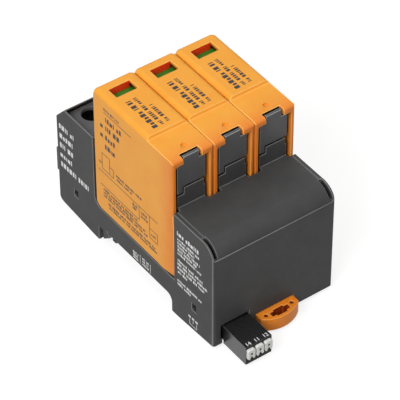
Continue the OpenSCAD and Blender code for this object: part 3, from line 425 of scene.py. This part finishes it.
# The polyamide comes from a polished mould, so it is glossier than the housing; the push pieces are satin.
plug_plastic = moulded_plastic("polyamide_black", "#131313", "#1e1e1e", 0.27, 0.8, 0.3, 0.006)
push_plastic = moulded_plastic("polyamide_light_grey", "#dcdcd7", "#ededea", 0.42, 0.45, 0.4, 0.01)
# Its rounded edges carry a painted highlight.
plug_edge = moulded_plastic("polyamide_black_painted_highlight", "#4a4a4a", "#606060", 0.3, 0.6, 0.3, 0.006)
plug = moulded_copy("signal_plug", "signal_plug", 0.09, plug_plastic, plug_edge)
# Its front face is matt, so that the push pieces stand out from it.
FORWARD = -0.9
plug.data.materials.append(tray_plastic)
for face in plug.data.polygons:
    if face.normal.y < FORWARD:
        face.material_index = MARKED
dress(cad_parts["clamp_cages"], zinc_plate)
# Painted shade darkens the small round eye of each push piece.
eye_shade_plastic = moulded_plastic("polyamide_grey_painted_shade", "#3a3936", "#565550", 0.6, 0.2, 0.4, 0.02)
EYE, EYE_HEIGHT, EYE_DEEP = 0.62, 2.6, 0.02
NUMBER_SIZE, NUMBER_STROKE, NUMBER_IN = 2.3, 0.03, 1.6
for place, number in ((1, "14"), (2, "11"), (3, "12")):
    body = f"push_piece_{place}"
    push = moulded_copy(body, body, 0.12, push_plastic, push_plastic)
    low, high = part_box(f"push_piece_{place}")
    middle = (low[0] + high[0]) / 2
    push.data.materials.append(eye_shade_plastic)
    for face in push.data.polygons:
        across, up = face.center.x - middle, face.center.z - low[2] - EYE_HEIGHT * MM
        if math.hypot(across, up) < EYE * MM and face.center.y > low[1] + EYE_DEEP * MM:
            face.material_index = MARKED
    bpy.ops.object.select_all(action="DESELECT")
    bpy.ops.object.text_add()
    figure = bpy.context.object
    figure.data.body = number
    figure.data.align_x = "CENTER"
    figure.data.size = NUMBER_SIZE * MM
    figure.data.extrude = FILM / 2 * MM
    figure.data.offset = NUMBER_STROKE * MM
    bpy.ops.object.convert(target="MESH")
    figure.location = (middle, low[1] + NUMBER_IN * MM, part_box("signal_plug")[1][2])
    bpy.ops.object.transform_apply()
    fix_print(figure, f"contact_number_{place}", white_ink, "signal_plug")

# Inside of each module
# A blue-coated varistor block between its contact blades, with a thermal spring soldered to it.
# The black carrier closes the module from below and shows its front plate and pull tab at the front.

# The block is dipped in epoxy, so it is glossy and slightly wavy; field and flag are smooth polycarbonate.
# The carrier's polyamide is blasted matt, and its edges carry a painted highlight.
coating = moulded_plastic("epoxy_coating_blue", "#2c4d7c", "#4a70a4", 0.3, 0.5, 0.8, 0.03)
front_plastic = moulded_plastic("polyamide_front_black", "#424243", "#565657", 0.52, 0.36, 0.4, 0.02)
front_edge = moulded_plastic("polyamide_front_painted_highlight", "#8c8c8e", "#b0b0b2", 0.4, 0.4, 0.4, 0.01)
green_plastic = moulded_plastic("polycarbonate_green", "#266e16", "#348024", 0.32, 0.5, 0.5, 0.005)
for pole in (1, 2, 3):
    body = f"plug_module_{pole}"
    moulded_copy(f"varistor_{pole}", body, 0.8, coating, coating)
    dress(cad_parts[f"contact_blades_{pole}"], copper_strip)
    dress(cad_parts[f"thermal_spring_{pole}"], copper_strip)
    moulded_copy(f"plug_carrier_{pole}", body, 0.14, front_plastic, front_edge)
    dress(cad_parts[f"status_field_{pole}"], red_plastic)
    flag = f"status_flag_{pole}"
    moulded_copy(flag, flag, 0.12, green_plastic, green_plastic)

# Hoods of the modules
# The orange hoods, one per pole: thin mouldings in PBT with a status window, a finger step and a notch.
# Black pad print covers the left side and the middle of the top.

# PBT comes out of the mould satin and even; only a faint cloud and a fine grain break its sheen.
hood_plastic = moulded_plastic("pbt_orange", "#eb982c", "#f5ad41", 0.44, 0.25, 0.5, 0.012)
# The gate mark is duller, and painted darker as shade in its sink.
gate_mark_and_shade = moulded_plastic("pbt_orange_gate_mark_painted_shade", "#e48e2a", "#eea23c", 0.5, 0.2, 0.3, 0.02)
# Painted shade: the plastic darkens and reddens towards the front of the hood.
FRONT_SHADE_FROM, HOOD_FRONT = -9, -21.6
tree = hood_plastic.node_tree
plain = tree.nodes["Principled BSDF"].inputs["Base Color"]
reach = add(tree, "ShaderNodeSeparateXYZ", {}, {"Vector": tree.nodes["Texture Coordinate"].outputs["Object"]})
front_ramp = add(tree, "ShaderNodeMapRange", {"From Min": FRONT_SHADE_FROM * MM, "From Max": HOOD_FRONT * MM},
           {"Value": reach.outputs["Y"]})
front_shade_fac = add(tree, "ShaderNodeMath", {"operation": "POWER", 1: 2.0}, {0: front_ramp.outputs["Result"]})
front_shade = add(tree, "ShaderNodeMixRGB", {"blend_type": "MULTIPLY", "Color2": linear("#f6cdd7")},
              {"Fac": front_shade_fac.outputs[0], "Color1": plain.links[0].from_socket})
tree.links.new(front_shade.outputs["Color"], plain)
# Its rounded edges carry a painted highlight.
hood_edge = moulded_plastic("pbt_orange_painted_highlight", "#f6ae4a", "#fdc064", 0.36, 0.35, 0.5, 0.008)
black_ink = ink("black_pad_print", "#161412", "#2e2a24", 0.55)
# On top, print reads along Y. The slanted faces at the toe of a hood keep crisp borders, and its print lies on
# a side that is sunk by SIDE_RELIEF.
TOP_FACE = (0, 0, math.pi / 2)
TOE_FACETS = ((-0.9917, -0.1279, -0.0155), (0.9917, -0.1279, -0.0155))
SIDE_RELIEF = 0.1
POLE_PITCH = 18
LINE = 0.3
SIDE_SEED, TOP_SEED = 7, 11
side_rows = [(-20.3, -11.0, 61.3, 1.2), (-19.5, -9.8, 56.8, 2.2), (-19.6, -11.0, 52.7, 2.2),
             (-19.8, -13.3, 48.2, 2.2), (-20.1, -13.5, 43.6, 2.2), (-24.4, -22.7, 34.0, 0.9),
             (-13.5, 2.5, 34.2, 1.0), (-13.2, -3.8, 32.5, 1.0), (-22.0, -0.6, 21.6, 1.1),
             (-22.0, 4.3, 20.1, 1.1), (-22.0, 5.6, 18.6, 1.1), (-19.2, 10.4, 16.2, 1.1),
             (-18.5, 12.4, 14.7, 1.1), (-3.4, -0.3, 28.2, 1.2), (-3.4, -0.3, 26.6, 1.2),
             (1.7, 6.0, 27.8, 1.3), (1.7, 6.0, 26.0, 1.3), (8.0, 11.2, 21.6, 1.0), (12.6, 15.6, 21.6, 1.0)]
side_lines = [(-20.4, -3.5, 59.6, 59.6 + LINE), (-24.8, 18.0, 29.7, 29.7 + LINE),
              (-23.8, 0.6, 23.0, 23.0 + LINE), (0.5, 0.5 + LINE, 23.1, 29.8), (7.0, 7.0 + LINE, 19.4, 29.8),
              (11.8, 11.8 + LINE, 19.4, 23.9), (7.1, 17.2, 23.8, 23.8 + LINE), (7.1, 16.4, 19.3, 19.3 + LINE),
              (-22.5, -17.5, 39.0, 39.0 + LINE), (-22.5, -22.5 + LINE, 31.6, 39.1),
              (-17.7, -17.7 + LINE, 31.6, 39.1), (-17.6, -15.2, 35.2, 35.2 + LINE),
              (-15.3, -15.3 + LINE, 31.6, 35.3), (-22.4, -15.2, 31.5, 31.5 + LINE),
              (-22.8, -21.2, 51.6, 53.2), (-22.9, -21.3, 47.1, 48.7)]
top_rows = [(-3.8, 10.4, 3.0, 2.1), (11.4, 13.4, 3.0, 2.1), (-3.6, 14.0, 0.1, 1.5), (-3.3, 7.4, -2.6, 1.5)]
low, high = [[c / MM for c in corner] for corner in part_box("plug_hood_1")]
side_print = print_sheet(side_lines, side_rows, SIDE_SEED, LEFT_FACE, (low[0] + SIDE_RELIEF, 0, 0))
top_print = print_sheet([], top_rows, TOP_SEED, TOP_FACE, ((low[0] + high[0]) / 2, 0, high[2]))
# The small round sink in the finger step is where the plastic was shot in; it is duller, and its colour is
# painted darker as shade in the sink.
# Its middle is beside the middle of the hood; its floor and rim lie between the two heights.
GATE_X, GATE_Y, GATE_R = 0.4, -15.7, 1.3
GATE_LOW, GATE_HIGH = 64.2, 65.28
for pole in (3, 2, 1):
    body = f"plug_module_{pole}"
    hood = moulded_copy(f"plug_hood_{pole}", body, 0.2, hood_plastic, hood_edge, TOE_FACETS)
    hood.data.materials.append(gate_mark_and_shade)
    gate = ((pole - 2) * POLE_PITCH + GATE_X, GATE_Y)
    for face in hood.data.polygons:
        spot = [c / MM for c in face.center]
        if math.dist(spot[:2], gate) < GATE_R and GATE_LOW < spot[2] < GATE_HIGH:
            face.material_index = MARKED
    for sheet, face in ((side_print, "side"), (top_print, "top")):
        if pole > 1:
            bpy.ops.object.select_all(action="DESELECT")
            sheet.select_set(True)
            bpy.context.view_layer.objects.active = sheet
            bpy.ops.object.duplicate()
            sheet = bpy.context.object
            sheet.location.x = (pole - 1) * POLE_PITCH * MM
            bpy.ops.object.transform_apply()
        fix_print(sheet, f"hood_{face}_print_{pole}", black_ink, body)

# Studio
# A pale floor that takes the shadow, soft lamps round the part, and a long lens from above the left front
# corner. The floor is matt card, and rays that show the surroundings see it near white.


def plain_rays(tree):
    """One for the rays that show the white surroundings: straight from the camera, mirrored or let through."""
    seen = add(tree, "ShaderNodeLightPath", {}, {})
    either = add(tree, "ShaderNodeMath", {"operation": "MAXIMUM"},
                 {0: seen.outputs["Is Camera Ray"], 1: seen.outputs["Is Glossy Ray"]})
    return add(tree, "ShaderNodeMath", {"operation": "MAXIMUM"},
               {0: either.outputs[0], 1: seen.outputs["Is Transmission Ray"]}).outputs[0]


bpy.ops.object.select_all(action="DESELECT")
bpy.ops.mesh.primitive_plane_add(size=6, location=(0, 0, cad_box[0][2]))
floor = bpy.context.object
floor.name = "floor"
pale_card = bpy.data.materials.new("pale_card")
pale_card.use_nodes = True
tree = pale_card.node_tree
tree.nodes.clear()
matt = add(tree, "ShaderNodeBsdfDiffuse", {"Color": linear("#9a9a9a")}, {})
glow = add(tree, "ShaderNodeEmission", {"Color": (1, 1, 1, 1), "Strength": 0.78}, {})
both = add(tree, "ShaderNodeAddShader", {}, {0: matt.outputs[0], 1: glow.outputs[0]})
mixed = add(tree, "ShaderNodeMixShader", {},
            {"Fac": plain_rays(tree), 1: matt.outputs[0], 2: both.outputs[0]})
add(tree, "ShaderNodeOutputMaterial", {}, {"Surface": mixed.outputs[0]})
dress(floor, pale_card)

world = bpy.data.worlds.new("studio")
bpy.context.scene.world = world
world.use_nodes = True
tree = world.node_tree
tree.nodes.clear()
level = add(tree, "ShaderNodeMapRange", {"To Min": 0.3, "To Max": 1.0}, {"Value": plain_rays(tree)})
sky = add(tree, "ShaderNodeBackground", {"Color": (1, 1, 1, 1)}, {"Strength": level.outputs["Result"]})
add(tree, "ShaderNodeOutputWorld", {}, {"Surface": sky.outputs[0]})

for name, power, size, place, aim in (("key_lamp", 10.3, 0.7, (-0.8, -0.35, 0.8), (0, 0, 0.03)),
                                      ("top_lamp", 3.7, 0.9, (0.1, 0.35, 1.2), (0, 0, 0.03)),
                                      ("front_lamp", 1.0, 0.5, (0.45, -0.72, 0.62), (0, 0, 0.02))):
    bpy.ops.object.light_add(type="AREA", location=place)
    lamp = bpy.context.object
    lamp.name = name
    lamp.data.energy = power
    lamp.data.size = size
    east, north, rise = [p - a for p, a in zip(place, aim)]
    lamp.rotation_euler = (math.atan2(math.hypot(east, north), rise), 0, math.atan2(north, east) + math.pi / 2)

AZIMUTH, ELEVATION, ROLL = math.radians(-36.07), math.radians(42.86), math.radians(-0.13)
TARGET, DISTANCE = (-4.8 * MM, -7.6 * MM, 26.0 * MM), 0.967
bpy.ops.object.camera_add(rotation=(math.pi / 2 - ELEVATION, 0, AZIMUTH))
camera = bpy.context.object
camera.location = (TARGET[0] + DISTANCE * math.sin(AZIMUTH) * math.cos(ELEVATION),
                   TARGET[1] - DISTANCE * math.cos(AZIMUTH) * math.cos(ELEVATION),
                   TARGET[2] + DISTANCE * math.sin(ELEVATION))
camera.rotation_euler.rotate_axis("Z", ROLL)
camera.data.sensor_width = 36
camera.data.lens = 240.5
camera.data.clip_start = 0.01
bpy.context.scene.camera = camera
bpy.context.scene.view_settings.view_transform = "Standard"
